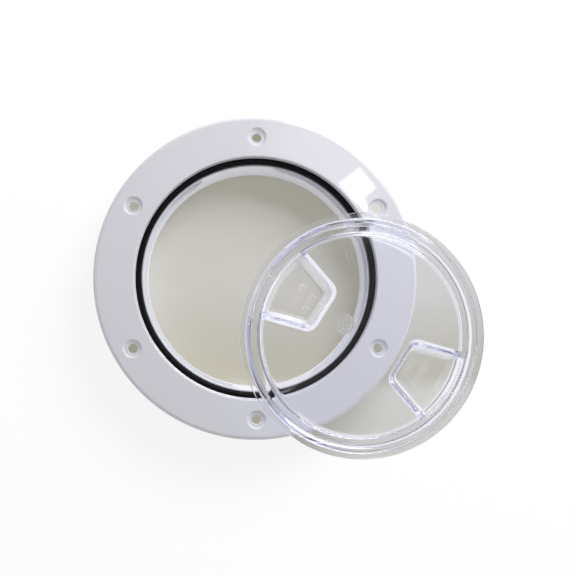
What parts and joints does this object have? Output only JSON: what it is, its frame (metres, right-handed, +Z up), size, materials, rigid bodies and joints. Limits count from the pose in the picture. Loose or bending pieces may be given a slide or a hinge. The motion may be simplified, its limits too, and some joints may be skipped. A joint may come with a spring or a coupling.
{
  "type": "deck inspection plate",
  "caption": "White round deck inspection plate: flanged ring with screw holes, rubber seal ring and threaded collar, with its clear screw-in cover taken off and lying on the flange.",
  "frame": {"origin": "on the ring's axis, in the plane of the flange's underside, which lies on the deck", "axes": "+Z up out of the deck along the ring's axis, +X to the right and +Y away, as one looks down with the loose cover at the lower right"},
  "size_m": [0.1735, 0.1532, 0.0387],
  "materials": {
    "white_plastic": "gloss",
    "black_rubber": "satin",
    "clear_plastic": "gloss"
  },
  "bodies": {
    "root": {"deck_ring": "white_plastic", "o_ring": "black_rubber", "clear_cover": "clear_plastic"}
  },
  "joints": []
}
